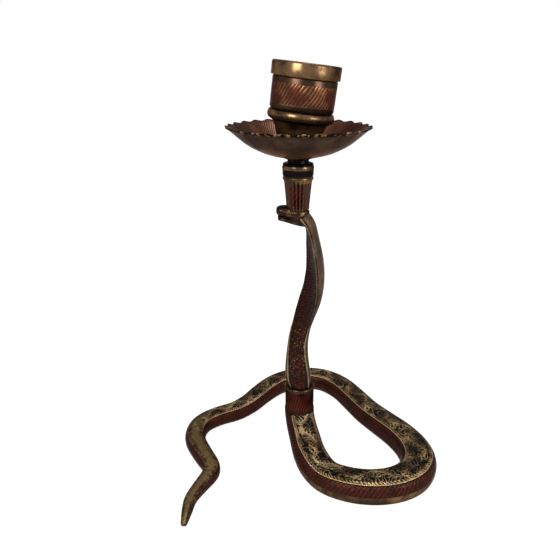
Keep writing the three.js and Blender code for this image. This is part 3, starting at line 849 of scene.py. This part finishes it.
class HOLDER_OT_drip_pan(bpy.types.Operator):
    """Model the thin dished pan with its scalloped edge"""
    bl_idname = "holder.drip_pan"
    bl_label = "Drip Pan"

    def execute(self, context):
        sizes = context.scene.holder_sizes
        rim = 27.4
        wall = 1.0
        points_per_scallop = 6
        scallop_reach = 0.5
        outside = [
            (2.2, 0), (5.6, 0), (8.5, 0.3), (11, 0.9), (13.6, 1.75), (16, 2.8), (18.4, 4.05), (20.7, 5.5),
            (22.9, 7.3), (24.8, 9), (26.3, 10.35), (rim, 10.9),
        ]
        inside = [
            (rim + 0.1, 11.25), (rim, 11.5), (26, 11.2), (24.3, 9.9), (22.4, 8.2), (20.2, 6.45), (17.9, 5),
            (15.6, 3.8), (13.2, 2.75), (10.7, 1.9), (8.2, 1.35), (5.2, wall), (2.2, wall),
        ]
        profile = [(r * MM, pan_low.z + h * MM) for r, h in outside + inside]
        piece = turned_piece("scalloped_pan", profile, sizes.scallops * points_per_scallop, POST_AXIS)

        def crimp(spot):
            """Presses the scallops into the outer fifth of the pan, deepest at the rim."""
            flat = Vector((spot.x - POST_AXIS.x, spot.y - POST_AXIS.y))
            near = max(0, min(1, (flat.length - 0.8 * rim * MM) / (0.2 * rim * MM)))
            near = near * near * (3 - 2 * near)
            wave = math.cos(sizes.scallops * math.atan2(flat.y, flat.x))
            grow = 1 + near * scallop_reach * MM * wave / max(flat.length, MM)
            lift = near * sizes.scallop_rise * wave
            return Vector((POST_AXIS.x + flat.x * grow, POST_AXIS.y + flat.y * grow, spot.z + lift))

        press_metal(piece, crimp)
        shade_round(piece, 50)
        finish_piece(piece, "pan", "drip_pan", pan_brass(context.scene.holder_metals))
        return {"FINISHED"}


class HOLDER_OT_candle_cup(bpy.types.Operator):
    """Model the cup with its top band, hatched barrel, bead and bowl, leaning on its screw"""
    bl_idname = "holder.candle_cup"
    bl_label = "Candle Cup"

    def execute(self, context):
        sizes = context.scene.holder_sizes
        metals = context.scene.holder_metals
        shoulder = CUP_HEIGHT - 5
        outline = [
            (3, 0), (5.2, 0), (6, 0.5), (7.4, 3), (8.7, 6.4), (9.4, 8.8), (10.3, 10.7), (11, 11.2),
            (12.2, 11.9), (12.7, 12.9), (12.7, 13.6), (12.3, 14.7), (11.7, 15.2), (12.1, 15.9),
            (12.2, shoulder - 0.7), (11.9, shoulder - 0.2), (12.95, shoulder), (13, CUP_HEIGHT - 0.5),
            (12.65, CUP_HEIGHT), (11.4, CUP_HEIGHT), (11, CUP_HEIGHT - 0.5), (11, 15), (9.6, 13.4), (8.4, 9),
            (6.6, 5.2), (4.6, 3.6), (3, 3.4),
        ]
        profile = [(r * MM, h * MM) for r, h in outline]
        piece = turned_piece("candle_cup_shell", profile, sizes.turned_segments, Vector((0, 0, 0)))
        foot = Vector((POST_AXIS.x - CUP_OFFSET * MM, POST_AXIS.y, pan_low.z + CUP_RISE * MM))
        lean = Matrix.Rotation(sizes.cup_lean, 4, "Y")
        piece.data.transform(Matrix.Translation(foot) @ lean)
        shade_round(piece)
        bands = [
            (4.8 * MM, 7.4 * MM, "black", True), (14.9 * MM, 17.2 * MM, "patina", False),
            (24.6 * MM, 27 * MM, "patina", False), (17.2 * MM, 24.8 * MM, "red", True),
            (10.9 * MM, 11.9 * MM, "black", False), (14.6 * MM, 15.3 * MM, "black", False),
        ]
        material = banded_enamel("cup enamel", metals, foot, lean=sizes.cup_lean, cuts_round=52, climb=7.6,
                                 bands=bands)
        finish_piece(piece, "cup", "candle_cup", material)
        return {"FINISHED"}


class HOLDER_OT_fixings(bpy.types.Operator):
    """Finish the washer, spigot, screw and screw washer"""
    bl_idname = "holder.fixings"
    bl_label = "Fixings"

    def execute(self, context):
        metals = context.scene.holder_metals
        finishes = {
            "hood_spigot": satin_brass("spigot brass", metals.brass, metals.patina),
            "screw_washer": satin_brass("washer brass", metals.brass, metals.patina),
            "cup_screw": satin_brass("screw steel", (0.14, 0.133, 0.122), (0.07, 0.06, 0.05), 0.45),
            "pan_washer": satin_brass("black washer", metals.black, (0.02, 0.015, 0.012), 0.45),
        }
        for node, material in finishes.items():
            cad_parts[node].data.materials.clear()
            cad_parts[node].data.materials.append(material)
        return {"FINISHED"}


def white_surroundings():
    """A white world to look at, and a softer one for the light it gives."""
    world = bpy.data.worlds.new("studio")
    bpy.context.scene.world = world
    world.use_nodes = True
    nodes, links = world.node_tree.nodes, world.node_tree.links
    nodes.clear()
    rays = nodes.new("ShaderNodeLightPath")
    seen = nodes.new("ShaderNodeMath")
    seen.operation = "MAXIMUM"
    links.new(rays.outputs["Is Camera Ray"], seen.inputs[0])
    mirror = nodes.new("ShaderNodeMath")
    mirror.operation = "MAXIMUM"
    links.new(rays.outputs["Is Glossy Ray"], mirror.inputs[0])
    links.new(rays.outputs["Is Transmission Ray"], mirror.inputs[1])
    links.new(mirror.outputs[0], seen.inputs[1])
    soft = nodes.new("ShaderNodeBackground")
    soft.inputs["Color"].default_value = (1, 1, 1, 1)
    soft.inputs["Strength"].default_value = WORLD_LIGHT
    white = nodes.new("ShaderNodeBackground")
    white.inputs["Color"].default_value = (1, 1, 1, 1)
    mixer = nodes.new("ShaderNodeMixShader")
    links.new(seen.outputs[0], mixer.inputs[0])
    links.new(soft.outputs[0], mixer.inputs[1])
    links.new(white.outputs[0], mixer.inputs[2])
    out = nodes.new("ShaderNodeOutputWorld")
    links.new(mixer.outputs[0], out.inputs[0])


def floor_material():
    """A pale floor that looks white to the camera, and is so bright there that the shadow is lost."""
    material = bpy.data.materials.new("pale floor")
    material.use_nodes = True
    nodes, links = material.node_tree.nodes, material.node_tree.links
    nodes.clear()
    rays = nodes.new("ShaderNodeLightPath")
    paint = nodes.new("ShaderNodeBsdfDiffuse")
    paint.inputs["Color"].default_value = (0.85, 0.85, 0.85, 1)
    glow = nodes.new("ShaderNodeEmission")
    glow.inputs["Color"].default_value = (1, 1, 1, 1)
    glow.inputs["Strength"].default_value = FLOOR_GLOW
    share = nodes.new("ShaderNodeMath")
    share.operation = "MULTIPLY"
    share.inputs[1].default_value = FLOOR_GLOW_SHARE
    links.new(rays.outputs["Is Camera Ray"], share.inputs[0])
    mixer = nodes.new("ShaderNodeMixShader")
    links.new(share.outputs[0], mixer.inputs[0])
    links.new(paint.outputs[0], mixer.inputs[1])
    links.new(glow.outputs[0], mixer.inputs[2])
    out = nodes.new("ShaderNodeOutputMaterial")
    links.new(mixer.outputs[0], out.inputs[0])
    return material


class HOLDER_OT_stage(bpy.types.Operator):
    """Set the pale floor, the soft lamps and the camera"""
    bl_idname = "holder.stage"
    bl_label = "Stage"

    def execute(self, context):
        clear_selection()
        bpy.ops.mesh.primitive_plane_add(size=6, location=(0, 0, -0.0002))
        floor = context.object
        floor.name = "studio_floor"
        floor.data.materials.append(floor_material())
        white_surroundings()
        target = Vector((0, 0, 0.08))
        lamps = (
            ("key", (-0.42, -0.66, 0.6), 0.36, 7),
            ("fill", (0.6, -0.5, 0.4), 0.3, 4),
            ("top", (0.05, 0.1, 0.95), 0.5, 6),
        )
        for name, place, size, power in lamps:
            bpy.ops.object.light_add(type="AREA", location=place)
            lamp = context.object
            lamp.name = name + "_lamp"
            lamp.data.size = size
            lamp.data.energy = power
            lamp.rotation_euler = (target - Vector(place)).to_track_quat("-Z", "Y").to_euler()
        stage = context.scene.holder_stage
        spot = (NECK_AXIS.x - stage.camera_left, NECK_AXIS.y - stage.camera_back, stage.camera_height)
        bpy.ops.object.camera_add(location=spot, rotation=(math.pi / 2 - stage.camera_pitch, 0, 0))
        context.scene.camera = context.object
        context.object.data.lens = stage.lens
        context.scene.view_settings.view_transform = "Standard"
        return {"FINISHED"}


class HOLDER_PT_panel(bpy.types.Panel):
    """Buttons for each piece of the holder"""
    bl_label = "Candle Holder"
    bl_space_type = "VIEW_3D"
    bl_region_type = "UI"
    bl_category = "Candle Holder"

    def draw(self, context):
        for operator in PIECE_OPERATORS:
            self.layout.operator(operator.bl_idname)
        for settings in (context.scene.holder_metals, context.scene.holder_sizes, context.scene.holder_stage):
            for name in settings.__annotations__:
                self.layout.prop(settings, name)


PIECE_OPERATORS = (
    HOLDER_OT_snake_body,
    HOLDER_OT_neck_ferrule,
    HOLDER_OT_cobra_hood,
    HOLDER_OT_cobra_head,
    HOLDER_OT_candle_post,
    HOLDER_OT_drip_pan,
    HOLDER_OT_candle_cup,
    HOLDER_OT_fixings,
    HOLDER_OT_stage,
)
SETTINGS = {"holder_metals": HolderMetals, "holder_sizes": HolderSizes, "holder_stage": HolderStage}


def register():
    """Registers the settings, the operators and the panel."""
    for name, group in SETTINGS.items():
        bpy.utils.register_class(group)
        setattr(bpy.types.Scene, name, bpy.props.PointerProperty(type=group))
    for part in (*PIECE_OPERATORS, HOLDER_PT_panel):
        bpy.utils.register_class(part)


def unregister():
    """Takes them away again."""
    for part in (HOLDER_PT_panel, *reversed(PIECE_OPERATORS)):
        bpy.utils.unregister_class(part)
    for name, group in SETTINGS.items():
        delattr(bpy.types.Scene, name)
        bpy.utils.unregister_class(group)


def main():
    """Builds every piece in order."""
    register()
    bpy.ops.holder.snake_body()
    bpy.ops.holder.neck_ferrule()
    bpy.ops.holder.cobra_hood()
    bpy.ops.holder.cobra_head()
    bpy.ops.holder.candle_post()
    bpy.ops.holder.drip_pan()
    bpy.ops.holder.candle_cup()
    bpy.ops.holder.fixings()
    bpy.ops.holder.stage()


if __name__ == "__main__":
    main()
